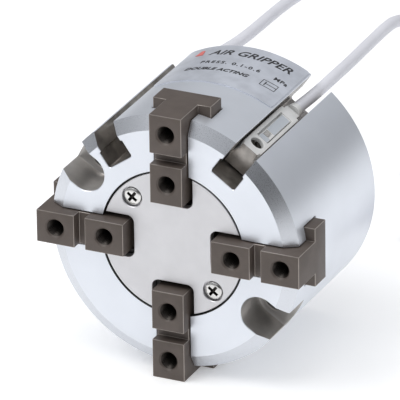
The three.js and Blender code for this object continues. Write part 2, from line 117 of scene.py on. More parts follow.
RING_INNER, RING_OUTER, RING_FROM, RING_TO, RING_HALF_GAP = 16.0, 17.7, 1.2, 2.2, 13
EAR_RADIUS, EAR_PLACE, EYE_RADIUS, EYE_PLACE = 1.9, 15.5, 0.8, 15.3

LEAD_RADIUS = 1.3
LEAD_AXIS = 24.9
COIL_COLUMNS = (12.6, 15.24)     # radii of the coil's turns
COIL_LAYERS = (1.65, 4.29, 6.93) # their heights
COIL_LANDING = 62                # degrees, where a lead comes down on its coil
TURN_MOVES = (0.55, 0.44, 0.33, 0.22)  # where, in each turn, the lead moves to its next seat
MOVE_LENGTH = 0.3                # in turns

# Routes of the leads in the frame, metres, from the grommet to the coil.
LEAD_ROUTES = {
    "right": [
        (0.0145, 0.015, 0.050), (0.0147, 0.022, 0.0499), (0.0149, 0.030, 0.0501),
        (0.015, 0.038, 0.0502), (0.015, 0.046, 0.0504), (0.015, 0.052, 0.0505),
        (0.015, 0.057, 0.0505), (0.0152, 0.061, 0.0502), (0.0158, 0.065, 0.0489),
        (0.0166, 0.0678, 0.0469), (0.0174, 0.0703, 0.0439), (0.018, 0.073, 0.0394),
        (0.0188, 0.0758, 0.034), (0.0199, 0.0783, 0.0286), (0.0216, 0.0806, 0.023),
        (0.0238, 0.0828, 0.0174), (0.0265, 0.0845, 0.0126), (0.0286, 0.085, 0.0105),
    ],
    "left": [
        (-0.0142, 0.0195, 0.050), (-0.0139, 0.025, 0.0498), (-0.0134, 0.031, 0.0493),
        (-0.0127, 0.038, 0.0488), (-0.0123, 0.045, 0.0485), (-0.0123, 0.052, 0.0483),
        (-0.0124, 0.058, 0.0481), (-0.0123, 0.064, 0.048), (-0.0115, 0.070, 0.0482),
        (-0.0099, 0.076, 0.0484), (-0.0076, 0.0817, 0.0477), (-0.005, 0.087, 0.0462),
        (-0.0025, 0.0916, 0.0446),
        (-0.0001, 0.0962, 0.0422), (0.002, 0.1008, 0.038), (0.0042, 0.1054, 0.0316),
        (0.0068, 0.1097, 0.024), (0.0099, 0.1133, 0.0172), (0.0131, 0.1154, 0.0126),
        (0.0152, 0.1159, 0.0105),
    ],
}
COILS = {
    # the coil's centre, and the angle where the tail leaves it
    "right": {"centre": (0.0312, 0.070), "leaving": 0},
    "left": {"centre": (0.0178, 0.1009), "leaving": 90},
}
TAIL_LENGTH = 17                 # millimetres, as are the cores' sizes
CORE_RADIUS, STRAND_RADIUS = 0.4, 0.22


def place(point):
    """A point in gripper coordinates, millimetres, as a point in the frame, metres."""
    x, y, z = point
    return Vector((AXIS_X + x * MM, REAR_Y - z * MM, AXIS_Z + y * MM))


# ------------------------------------------------------------------ mesh helpers
def mesh_object(name, vertices, faces):
    mesh = bpy.data.meshes.new(name)
    mesh.from_pydata([tuple(v) for v in vertices], [], faces)
    solid = bmesh.new()
    solid.from_mesh(mesh)
    bmesh.ops.recalc_face_normals(solid, faces=solid.faces)
    solid.to_mesh(mesh)
    solid.free()
    obj = bpy.data.objects.new(name, mesh)
    bpy.context.scene.collection.objects.link(obj)
    return obj


def loft(name, rings):
    """A closed solid through rings of the same number of points, with flat ends."""
    count = len(rings[0])
    vertices = [point for ring in rings for point in ring]
    faces = [tuple(range(count))[::-1], tuple(range(len(vertices) - count, len(vertices)))]
    for level in range(len(rings) - 1):
        for i in range(count):
            a, b = level * count + i, level * count + (i + 1) % count
            faces.append((a, b, b + count, a + count))
    return mesh_object(name, vertices, faces)


def lathe(name, profile, segments=192):
    """(radius, z) points turned about the z axis: a closed loop, or one from axis to axis."""
    closed = profile[0][0] > 0
    vertices, rows = [], []
    for radius, z in profile:
        if radius == 0:
            rows.append([len(vertices)] * segments)
            vertices.append((0, 0, z))
            continue
        rows.append([len(vertices) + i for i in range(segments)])
        for i in range(segments):
            angle = 2 * math.pi * i / segments
            vertices.append((radius * math.cos(angle), radius * math.sin(angle), z))
    pairs = list(zip(rows, rows[1:] + rows[:1])) if closed else list(zip(rows, rows[1:]))
    faces = []
    for low, high in pairs:
        for i in range(segments):
            j = (i + 1) % segments
            corners = []
            for corner in (low[i], low[j], high[j], high[i]):
                if corner not in corners:
                    corners.append(corner)
            if len(corners) > 2:
                faces.append(tuple(corners))
    return mesh_object(name, vertices, faces)


def offset(outline, distance):
    """A closed anticlockwise outline moved outwards, with mitred corners."""
    moved = []
    for i, point in enumerate(outline):
        before, after = outline[i - 1], outline[(i + 1) % len(outline)]
        normals = []
        for a, b in ((before, point), (point, after)):
            run = Vector((b[0] - a[0], b[1] - a[1])).normalized()
            normals.append(Vector((run.y, -run.x)))
        middle = (normals[0] + normals[1]).normalized()
        reach = distance / max(middle.dot(normals[0]), 0.3)
        moved.append((point[0] + middle.x * reach, point[1] + middle.y * reach))
    return moved


def prism(name, outline, levels):
    """An outline along z; levels are (z, how far the outline is offset there)."""
    rings = [[(x, y, z) for x, y in offset(outline, grown)] for z, grown in levels]
    return loft(name, rings)


def edged(low, high, edge=EDGE):
    """Levels of a prism with both ends broken by a small chamfer."""
    return [(low, -edge), (low + edge, 0), (high - edge, 0), (high, -edge)]


def flared(low, high, low_open=True, high_open=True, edge=EDGE):
    """Levels of a cutter that also breaks the edges of the faces at low and high."""
    start = [(low - 1, 2 * edge), (low - edge, 2 * edge), (low + edge, 0)]
    end = [(high - edge, 0), (high + edge, 2 * edge), (high + 1, 2 * edge)]
    return (start if low_open else [(low, 0)]) + (end if high_open else [(high, 0)])


def box(name, xs, ys, zs):
    return prism(name, [(xs[0], ys[0]), (xs[1], ys[0]), (xs[1], ys[1]), (xs[0], ys[1])],
                 [(zs[0], 0), (zs[1], 0)])


def moved(obj, matrix):
    obj.data.transform(matrix)
    return obj


def turn(obj, degrees, axis="Z"):
    return moved(obj, Matrix.Rotation(math.radians(degrees), 4, axis))


def shift(obj, x, y, z):
    return moved(obj, Matrix.Translation((x, y, z)))


def arc(centre, radius, start, end, steps):
    """Points along an arc, in degrees, both ends included."""
    points = []
    for i in range(steps + 1):
        angle = math.radians(start + (end - start) * i / steps)
        points.append((centre[0] + radius * math.cos(angle),
                       centre[1] + radius * math.sin(angle)))
    return points


def apply_modifiers(obj):
    graph = bpy.context.evaluated_depsgraph_get()
    made = bpy.data.meshes.new_from_object(obj.evaluated_get(graph))
    old = obj.data
    obj.modifiers.clear()
    obj.data = made
    bpy.data.meshes.remove(old)
    return obj


def combine(obj, tools, operation="DIFFERENCE"):
    """Cuts the tools out of obj, or joins them to it, one after another."""
    for tool in tools:
        step = obj.modifiers.new("combine", "BOOLEAN")
        step.operation = operation
        step.solver = "EXACT"
        step.object = tool
        apply_modifiers(obj)
        bpy.data.objects.remove(tool, do_unlink=True)
    return obj


def bevel(obj, width, segments=2, material=-1):
    step = obj.modifiers.new("bevel", "BEVEL")
    step.width = width
    step.segments = segments
    step.limit_method = "ANGLE"
    step.angle_limit = math.radians(35)
    step.use_clamp_overlap = False
    step.material = material
    return apply_modifiers(obj)


def smooth(obj, degrees=28):
    for face in obj.data.polygons:
        face.use_smooth = True
    obj.data.set_sharp_from_angle(angle=math.radians(degrees))


def set_materials(obj, materials):
    while len(obj.data.materials) < len(materials):
        obj.data.materials.append(None)
    for i, material in enumerate(materials):
        obj.data.materials[i] = material


def finish_piece(obj, materials, body, nodes, smooth_angle=28, in_frame=False):
    """Takes a piece to the frame, hangs it on the body it rides on and hides the CAD nodes it stands
    for.
    """
    if not in_frame:
        for vertex in obj.data.vertices:
            vertex.co = place(vertex.co)
    obj.data.update()
    smooth(obj, smooth_angle)
    set_materials(obj, materials)
    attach(obj, body)
    if nodes:
        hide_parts(*nodes)
    return obj


# ------------------------------------------------------------------ materials
class Nodes:
    """Short names for building one node material."""

    def __init__(self, name):
        self.material = bpy.data.materials.new(name)
        self.material.use_nodes = True
        self.tree = self.material.node_tree
        self.shader = self.tree.nodes["Principled BSDF"]
        self.where = self.add("ShaderNodeTexCoord").outputs["Object"]

    def add(self, kind, **settings):
        node = self.tree.nodes.new(kind)
        for key, value in settings.items():
            setattr(node, key, value)
        return node

    def feed(self, socket, value):
        if isinstance(value, bpy.types.NodeSocket):
            self.tree.links.new(value, socket)
        else:
            socket.default_value = value

    def set(self, **values):
        for key, value in values.items():
            self.feed(self.shader.inputs[key.replace("_", " ")], value)

    def maths(self, operation, a, b=0.0):
        node = self.add("ShaderNodeMath", operation=operation)
        self.feed(node.inputs[0], a)
        self.feed(node.inputs[1], b)
        return node.outputs[0]

    def scaled(self, scale):
        """The object's coordinates stretched by a factor along x, y and z."""
        node = self.add("ShaderNodeMapping")
        self.feed(node.inputs["Vector"], self.where)
        node.inputs["Scale"].default_value = scale
        return node.outputs["Vector"]

    def noise(self, scale, detail=2.0, stretch=(1, 1, 1), roughness=0.5):
        node = self.add("ShaderNodeTexNoise")
        self.feed(node.inputs["Vector"], self.scaled(stretch))
        node.inputs["Scale"].default_value = scale
        node.inputs["Detail"].default_value = detail
        node.inputs["Roughness"].default_value = roughness
        return node.outputs["Fac"]

    def along(self, value, per_metre):
        """Noise that only changes with one value."""
        node = self.add("ShaderNodeTexNoise", noise_dimensions="1D")
        self.feed(node.inputs["W"], value)
        node.inputs["Scale"].default_value = per_metre
        node.inputs["Detail"].default_value = 3.0
        return node.outputs["Fac"]

    def rings(self, per_metre):
        """Turning marks on a face: they change with the distance from the axis."""
        parts = self.add("ShaderNodeSeparateXYZ")
        self.feed(parts.inputs[0], self.where)
        across = self.maths("POWER", self.maths("SUBTRACT", parts.outputs[0], AXIS_X), 2.0)
        up = self.maths("POWER", self.maths("SUBTRACT", parts.outputs[2], AXIS_Z), 2.0)
        return self.along(self.maths("SQRT", self.maths("ADD", across, up)), per_metre)

    def lines(self, per_metre):
        """Turning marks on the rim: they change along the axis."""
        parts = self.add("ShaderNodeSeparateXYZ")
        self.feed(parts.inputs[0], self.where)
        return self.along(parts.outputs[1], per_metre)

    def ramp(self, value, low, high, start=0.0, end=1.0):
        node = self.add("ShaderNodeMapRange")
        self.feed(node.inputs["Value"], value)
        node.inputs["From Min"].default_value = start
        node.inputs["From Max"].default_value = end
        node.inputs["To Min"].default_value = low
        node.inputs["To Max"].default_value = high
        return node.outputs["Result"]

    def blend(self, factor, first, second):
        node = self.add("ShaderNodeMix", data_type="RGBA")
        self.feed(node.inputs[0], factor)
        self.feed(node.inputs[6], (*first, 1) if len(first) == 3 else first)
        self.feed(node.inputs[7], (*second, 1) if len(second) == 3 else second)
        return node.outputs[2]

    def bump(self, height, distance, strength=1.0, before=None):
        node = self.add("ShaderNodeBump")
        self.feed(node.inputs["Height"], height)
        node.inputs["Distance"].default_value = distance
        node.inputs["Strength"].default_value = strength
        if before is not None:
            self.feed(node.inputs["Normal"], before)
        self.feed(self.shader.inputs["Normal"], node.outputs["Normal"])
        return node.outputs["Normal"]


def anodised(name, tone, roughness, turned=0.5, metallic=0.72):
    """Clear anodised aluminium: a matt, slightly mottled skin over fine turning marks."""
    n = Nodes(name)
    grain = n.noise(9000, 2.0)
    cloud = n.noise(70, 3.0)
    darker = tuple(c * 0.95 for c in tone)
    n.set(Base_Color=n.blend(n.ramp(cloud, 0, 1, 0.35, 0.65), darker, tone), Metallic=metallic,
          Roughness=n.ramp(grain, roughness - 0.05, roughness + 0.07))
    marks = n.bump(n.rings(5200), 0.000006, turned)
    marks = n.bump(n.lines(4200), 0.000006, turned, marks)
    n.bump(grain, 0.000005, 0.5, marks)
    return n.material


def machined(name, tone, roughness, stretch=(1, 1, 1), scale=6000, metallic=1.0, depth=0.000006,
             patchy=0.84):
    """Bare or blackened steel with fine tool marks."""
    n = Nodes(name)
    marks = n.noise(scale, 3.0, stretch)
    patch = n.noise(260, 4.0)
    darker = tuple(c * patchy for c in tone)
    n.set(Base_Color=n.blend(n.ramp(patch, 0, 1, 0.35, 0.65), darker, tone),
          Metallic=metallic, Roughness=n.ramp(marks, roughness - 0.06, roughness + 0.1))
    n.bump(marks, depth, 0.7)
    return n.material


def moulded(name, tone, roughness, grain=5000, depth=0.000008, subsurface=0.0):
    """Moulded resin or vinyl with a faint grain and slight shade changes."""
    n = Nodes(name)
    fine = n.noise(grain, 2.0)
    shade = n.noise(180, 3.0)
    darker = tuple(c * 0.92 for c in tone)
    n.set(Base_Color=n.blend(n.ramp(shade, 0, 1, 0.3, 0.7), darker, tone),
          Roughness=n.ramp(fine, roughness - 0.05, roughness + 0.08),
          Subsurface_Weight=subsurface, Subsurface_Scale=0.0006)
    n.bump(fine, depth, 0.5)
    return n.material


BODY = anodised("body anodised", (0.80, 0.83, 0.885), 0.36)
# Painted reflection: a tone darker than the body's stands for the dark reflection on the front chamfer;
# its turning marks are real.
TURNED_CHAMFER_SHADE = anodised("body turned chamfer painted shade", (0.66, 0.68, 0.72), 0.28, 0.35, 0.90)
CAP = anodised("cap anodised", (0.74, 0.77, 0.83), 0.34, 0.8)
# Painted shade: a dark brownish tone for the inside of the sensor grooves, where shade falls.
GROOVE_SHADE = machined("groove painted shade", (0.46, 0.43, 0.40), 0.30, (1, 0.06, 1), 5000, 0.85,
                0.00002, 0.45)
# Painted shade: a darker tone for the inside of the mounting pockets and their bolt holes.
POCKET_SHADE = machined("pocket painted shade", (0.54, 0.52, 0.50), 0.36, (1, 1, 1), 5000, 0.8)
# Painted shade: near black, for the gaps round the end plate, the finger slots and the cam rooms, where
# shade falls.
SLOT_SHADE = machined("slot painted shade", (0.10, 0.098, 0.095), 0.5)
PLATE = machined("plate stainless", (0.66, 0.655, 0.67), 0.38, (1, 1, 1), 9000, 0.85,
                 0.000006, 0.96)
FINGER = machined("finger blackened steel", (0.112, 0.089, 0.076), 0.46, (1, 1, 1), 5200, 0.12)
# Partly painted highlight: the brighter tone on the fingers' bevelled edges stands for real wear and
# also paints bright edge highlights.
EDGE_WEAR_AND_HIGHLIGHT = machined("finger edge wear and painted highlight", (0.36, 0.32, 0.29), 0.32, (1, 1, 1), 6000, 0.8)
# Painted shade: near black for the deep part of the finger's threaded holes.
THREAD_SHADE = machined("finger thread painted shade", (0.040, 0.033, 0.028), 0.32, (1, 1, 1), 6000, 0.6)
# The switch set screws' own black; on the plated end-plate screws it paints the shade in the cross
# recess.
BLACK_SCREW_AND_RECESS_SHADE = machined("black set screw and recess shade", (0.05, 0.045, 0.04), 0.35)
SWITCH_END = machined("switch end plate", (0.62, 0.58, 0.54), 0.34, (1, 1, 0.1), 4000, 0.8,
                      0.00001, 0.6)
BRIGHT = machined("plated screw", (0.78, 0.77, 0.75), 0.22, (1, 1, 1), 7000, 1.0)
SPRING = machined("spring steel", (0.13, 0.13, 0.14), 0.35, (1, 1, 1), 5000, 0.8)
FOIL = machined("label film", (0.74, 0.77, 0.84), 0.30, (1, 1, 1), 3000, 0.55, 0.000002)
INK = moulded("label ink", (0.015, 0.015, 0.017), 0.4)
RED = moulded("label red", (0.72, 0.16, 0.14), 0.4)
RESIN = moulded("switch resin", (0.84, 0.84, 0.83), 0.34)
PRINT = moulded("switch print", (0.60, 0.64, 0.69), 0.45)
LENS = moulded("lamp lens", (0.52, 0.50, 0.48), 0.12)
VINYL = moulded("lead vinyl", (0.80, 0.80, 0.85), 0.38, 3500, 0.000012)
RUBBER = moulded("seal rubber", (0.02, 0.02, 0.022), 0.6)
CORES = {
    "brown": moulded("core brown", (0.20, 0.075, 0.03), 0.4),
    "black": moulded("core black", (0.02, 0.02, 0.02), 0.4),
    "blue": moulded("core blue", (0.03, 0.14, 0.45), 0.4),
}
COPPER = machined("bare copper", (0.80, 0.42, 0.25), 0.3)
MAGNET = moulded("magnet", (0.06, 0.06, 0.065), 0.5)


# ------------------------------------------------------------------ camera
VIEW_AZIMUTH, VIEW_ELEVATION, VIEW_ROLL = 25.16, 24.72, -0.7455
VIEW_DISTANCE = 1.457
AIM = Vector((0.0038, -0.0131, 0.0379))
LENS_MM, SENSOR_MM = 640.8, 36.0


def add_camera():
    azimuth, elevation = math.radians(VIEW_AZIMUTH), math.radians(VIEW_ELEVATION)
    away = Vector((math.sin(azimuth) * math.cos(elevation),
                   -math.cos(azimuth) * math.cos(elevation), math.sin(elevation)))
    data = bpy.data.cameras.new("camera")
    data.lens = LENS_MM
    data.sensor_width = SENSOR_MM
    data.clip_start = 0.05
    data.clip_end = 20
    camera = bpy.data.objects.new("camera", data)
    bpy.context.scene.collection.objects.link(camera)
    facing = (-away).to_track_quat("-Z", "Y").to_matrix().to_4x4()
    roll = Matrix.Rotation(math.radians(VIEW_ROLL), 4, "Z")
    camera.matrix_world = Matrix.Translation(AIM + away * VIEW_DISTANCE) @ facing @ roll
    bpy.context.scene.camera = camera


# ------------------------------------------------------------------ leads
def lead_start(side):
    angle = math.radians(GROOVE_ANGLES[side])
    behind = SWITCH_FRONT[side] - SWITCH_LENGTH - GROMMET_GAP - GROMMET_LENGTH - 0.3
    return place((LEAD_AXIS * math.cos(angle), LEAD_AXIS * math.sin(angle), behind))


def on_coil(side, angle, radius, height):
    """A point on a coil: degrees, and millimetres, as a point in the frame."""
    x, y = COILS[side]["centre"]
    turned = math.radians(angle)
    return Vector((x + radius * MM * math.cos(turned), y + radius * MM * math.sin(turned),
                   height * MM))


def landing_points(side):
    """The lead settles onto its coil along an arc."""
    outer, top, easing = COIL_COLUMNS[1], COIL_LAYERS[2], 16
    points = []
    for before in (7.5, 5.0, 2.5):
        height = top + easing - math.sqrt(easing ** 2 - before ** 2)
        angle = COIL_LANDING + math.degrees(before / outer)
        points.append(on_coil(side, angle, outer, height))
    return points


def coil_points(side):
    """About four turns, clockwise seen from above. The lead starts on top of the outer
    column and moves to the next seat once in each turn, before the turn above reaches it."""
    inner, outer = COIL_COLUMNS
    low, middle, high = COIL_LAYERS
    seats = [(outer, high), (outer, middle), (inner, middle), (inner, low), (outer, low)]
    leaving = COILS[side]["leaving"]
    turns = 4 + (COIL_LANDING - leaving) / 360
    steps = round(turns * 20)
    points = []
    for i in range(steps + 1):
        wound = turns * i / steps
        radius, height = seats[0]
        for number, start in enumerate(TURN_MOVES):
            done = min(max((wound - number - start) / MOVE_LENGTH, 0.0), 1.0)
            done = done * done * (3 - 2 * done)
            radius += done * (seats[number + 1][0] - seats[number][0])
            height += done * (seats[number + 1][1] - seats[number][1])
        points.append(on_coil(side, COIL_LANDING - 360 * wound, radius, height))
    along = Vector((math.sin(math.radians(leaving)), -math.cos(math.radians(leaving)), 0))
    last = points[-1]
    for step in range(1, 5):
        points.append(last + along * TAIL_LENGTH * MM * step / 4)
    return points, along


def curve_piece(name, points, radius, resolution=5):
    """A round tube along one open spline that passes through the points."""
    data = bpy.data.curves.new(name, "CURVE")
    data.dimensions = "3D"
    data.bevel_depth = radius
    data.bevel_resolution = 5
    data.use_fill_caps = True
    data.resolution_u = resolution
    spline = data.splines.new("BEZIER")
    spline.bezier_points.add(len(points) - 1)
    for point, where in zip(spline.bezier_points, points):
        point.co = where
        point.handle_left_type = point.handle_right_type = "AUTO"
    obj = bpy.data.objects.new(name, data)
    bpy.context.scene.collection.objects.link(obj)
    return obj


def add_cores(side, end, along):
    """Three insulated cores fan out of the sheath and end in stripped strands."""
    across = Vector((-along.y, along.x, 0)) * (-1 if side == "left" else 1)
    pieces = []
    for colour, where in (("brown", -1), ("black", 0), ("blue", 1)):
        points = []
        for run, spread, drop in ((-1.5, 0.66, 0.0), (0.3, 0.72, 0.1), (2.5, 1.0, 0.35),
                                  (5.5, 1.25, 0.75), (8.6, 1.42, 1.05)):
            sideways = across * spread * where
            points.append(end + (along * run + sideways - Vector((0, 0, drop))) * MM)
        core = curve_piece(f"core_wire_{colour}_{side}", points, CORE_RADIUS * MM)
        heading = (points[-1] - points[-2]).normalized()
        tip = [points[-1] + heading * run * MM for run in (-0.4, 1.2, 2.8)]
        strand = curve_piece(f"core_strand_{colour}_{side}", tip, STRAND_RADIUS * MM)
        for piece, material in ((core, CORES[colour]), (strand, COPPER)):
            piece.data.materials.append(material)
            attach(piece, "root")
            pieces.append(piece)
        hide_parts(f"core_{colour}_{side}")
    return pieces


def add_tie(side):
    """A narrow strap round the whole bundle of turns."""
    low, high = COIL_COLUMNS[0] - LEAD_RADIUS, COIL_COLUMNS[1] + LEAD_RADIUS
    top = COIL_LAYERS[2] + LEAD_RADIUS
    thick, half, corner = 0.3, 1.1, 0.9
    outline = []
    for r, z, start in ((high - corner, top - corner, 0), (low + corner, top - corner, 90),
                        (low + corner, thick + 0.06 + corner, 180),
                        (high - corner, thick + 0.06 + corner, 270)):
        outline += arc((r, z), corner, start, start + 90, 5)
    outside = offset(outline, thick)
    rings = [[(r, -half, z) for r, z in outline], [(r, -half, z) for r, z in outside],
             [(r, half, z) for r, z in outside], [(r, half, z) for r, z in outline]]
    count = len(outline)
    faces = []
    for level in range(4):
        for i in range(count):
            a, b = level * count, (level + 1) % 4 * count
            faces.append((a + i, a + (i + 1) % count, b + (i + 1) % count, b + i))
    tie = mesh_object(f"coil_tie_{side}", [v for ring in rings for v in ring], faces)
    x, y = COILS[side]["centre"]
    moved(tie, Matrix.Translation((x, y, 0)) @ Matrix.Rotation(math.radians(215), 4, "Z")
          @ Matrix.Scale(MM, 4))
    return finish_piece(tie, [RUBBER], "root", [], in_frame=True)


def add_lead(side):
    start = lead_start(side)
    turns, along = coil_points(side)
    points = [start] + [Vector(p) for p in LEAD_ROUTES[side]] + landing_points(side) + turns
    lead = curve_piece(f"lead_cable_{side}", points, LEAD_RADIUS * MM)
    lead.data.materials.append(VINYL)
    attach(lead, "root")
    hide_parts(f"lead_{side}", f"lead_coil_{side}", f"lead_tail_{side}")
    on_lead = add_cores(side, points[-1], along) + [add_tie(side)]


add_camera()
for side_name in ("right", "left"):
    add_lead(side_name)


# ------------------------------------------------------------------ body
def surface_radius(z):
    """The body's outer radius at an axial place, the front chamfer included."""
    past = z - (BODY_LENGTH - CHAMFER_AXIAL)
    return BODY_RADIUS - max(past, 0) * CHAMFER_RADIAL / CHAMFER_AXIAL


def slot_cutter(outline):
    """Cuts a (y, z) outline outwards along x, and breaks its edges at the rim."""
    wide = offset(outline, 2 * EDGE)
    rings = [[(5, y, z) for y, z in outline]]
    for shape, grow in ((outline, -EDGE), (wide, EDGE)):
        ring = []
        for (y, z), (edge_y, edge_z) in zip(outline, shape):
            radius = surface_radius(min(z, BODY_LENGTH)) + grow
            ring.append((math.sqrt(radius ** 2 - y ** 2), edge_y, edge_z))
        rings.append(ring)
    rings.append([(BODY_RADIUS + 4, y, z) for y, z in wide])
    return loft("slot cutter", rings)


def body_blank():
    front, e = BODY_LENGTH, EDGE
    cone = BODY_LENGTH - CHAMFER_AXIAL
    rim = BODY_RADIUS - CHAMFER_RADIAL
    seat, groove = CAP_SEAT_RADIUS, RING_GROOVE_RADIUS
    return lathe("body_shell", [
        (BODY_RADIUS - REAR_CHAMFER, 0), (BODY_RADIUS, REAR_CHAMFER), (BODY_RADIUS, cone),
        (rim, front), (PLATE_SEAT_RADIUS + e, front), (PLATE_SEAT_RADIUS, front - e),
        (PLATE_SEAT_RADIUS, PLATE_SEAT_FROM), (CAM_BORE, PLATE_SEAT_FROM),
        (CAM_BORE, CAM_BORE_FROM), (ROD_BORE, CAM_BORE_FROM), (ROD_BORE, ROD_SEAL_TO),
        (ROD_SEAL_RADIUS, ROD_SEAL_TO), (ROD_SEAL_RADIUS, ROD_SEAL_FROM),
        (ROD_BORE, ROD_SEAL_FROM), (ROD_BORE, BORE_TO), (BORE_RADIUS, BORE_TO),
        (BORE_RADIUS, CAP_SEAT_TO), (seat, CAP_SEAT_TO), (seat, RING_GROOVE_TO),
        (groove, RING_GROOVE_TO), (groove, RING_GROOVE_FROM), (seat, RING_GROOVE_FROM),
        (seat, CAP_SEAT_EDGE), (seat + CAP_SEAT_EDGE, 0),
    ], 256)


def groove_outline():
    rim = math.sqrt(BODY_RADIUS ** 2 - GROOVE_SLOT ** 2)
    half = [(GROOVE_WALL, GROOVE_CHAMBER), (GROOVE_SHOULDER, GROOVE_SLOT),
            (rim - EDGE, GROOVE_SLOT), (rim + EDGE, GROOVE_SLOT + 2 * EDGE),
            (BODY_RADIUS + 2, GROOVE_SLOT + 2 * EDGE)]
    corner = 0.5
    floor = arc((GROOVE_FLOOR + corner, GROOVE_CHAMBER - corner), corner, 180, 90, 4)
    upper = floor + half
    lower = [(x, -y) for x, y in upper]
    return lower + upper[::-1]


def pocket_outline():
    rim = math.sqrt(BODY_RADIUS ** 2 - POCKET_HALF ** 2)
    mouth = [(rim - EDGE, POCKET_HALF), (rim + EDGE, POCKET_HALF + 2 * EDGE),
             (BODY_RADIUS + 2, POCKET_HALF + 2 * EDGE)]
    back = arc((POCKET_RADIUS, 0), POCKET_HALF, 90, 270, 40)
    return [(x, -y) for x, y in mouth] + mouth[::-1] + back


def circle(radius, centre=(0, 0), steps=48):
    return arc(centre, radius, 0, 360 * (steps - 1) / steps, steps - 1)


def thread_cutter(minor, major, pitch, low, high, mouth_radius=0.0, steps=40):
    """A threaded hole to cut along z, with a countersink at its upper end."""
    rings = []
    levels = round((high - low) / pitch * 8)
    for level in range(levels + 1):
        z = low + (high - low) * level / levels
        ring = []
        for i in range(steps):
            phase = (z / pitch - i / steps) % 1
            radius = minor + (major - minor) * (1 - abs(2 * phase - 1))
            radius = max(radius, mouth_radius - (high - z))
            angle = 2 * math.pi * i / steps
            ring.append((radius * math.cos(angle), radius * math.sin(angle), z))
        rings.append(ring)
    rings.append([(x, y, high + 1) for x, y, _ in rings[-1]])
    return loft("thread cutter", rings)


# The anodised skin and four darker materials that paint shade: in the sensor grooves, in the slots and
# gaps, on the front chamfer (whose turning marks are real) and in the mounting pockets.
BODY_SKIN_AND_SHADES = [BODY, GROOVE_SHADE, SLOT_SHADE, TURNED_CHAMFER_SHADE, POCKET_SHADE]
SKIN, GROOVE_SHADED, SHADOWED, CHAMFER_SHADED, POCKET_SHADED = range(len(BODY_SKIN_AND_SHADES))


def painted(obj, skin_or_shade_at):
    """Gives each face of the body, or of a cutter, the material named for its centre: the anodised skin,
    or one of the darker materials that paint shade.
    """
    set_materials(obj, BODY_SKIN_AND_SHADES)
    for face in obj.data.polygons:
        face.material_index = skin_or_shade_at(face.center)
    return obj


def blank_skin_or_shade(centre):
    radius = math.hypot(centre.x, centre.y)
    # Painted shade: the faces inside the plate seat and the bores behind it are dark.
    if radius < PLATE_SEAT_RADIUS + 2 * EDGE and centre.z > BORE_TO - EDGE:
        return SHADOWED
    # Partly painted shade: the front chamfer gets the darker turned material.
    outside = radius > (PLATE_SEAT_RADIUS + BODY_RADIUS) / 2
    if outside and BODY_LENGTH - CHAMFER_AXIAL < centre.z < BODY_LENGTH:
        return CHAMFER_SHADED
    return SKIN


def slot_skin_or_shade(centre):
    # Painted shade: the inner faces of a finger slot are dark.
    inside = centre.x < BODY_RADIUS - 8 and centre.z < BODY_LENGTH - EDGE
    return SHADOWED if inside else SKIN


def groove_skin_or_shade(centre):
    rim = math.sqrt(BODY_RADIUS ** 2 - GROOVE_SLOT ** 2)
    ends = abs(centre.z - BODY_LENGTH / 2) > BODY_LENGTH / 2 - 2 * EDGE
    # Painted shade: the groove's inner faces are dark, but not its ends or its rim.
    return SKIN if ends or centre.x > rim - EDGE else GROOVE_SHADED


def pocket_skin_or_shade(centre):
    # Painted shade: all faces inside a pocket are darker.
    return POCKET_SHADED if centre.z < BODY_LENGTH - EDGE else SKIN


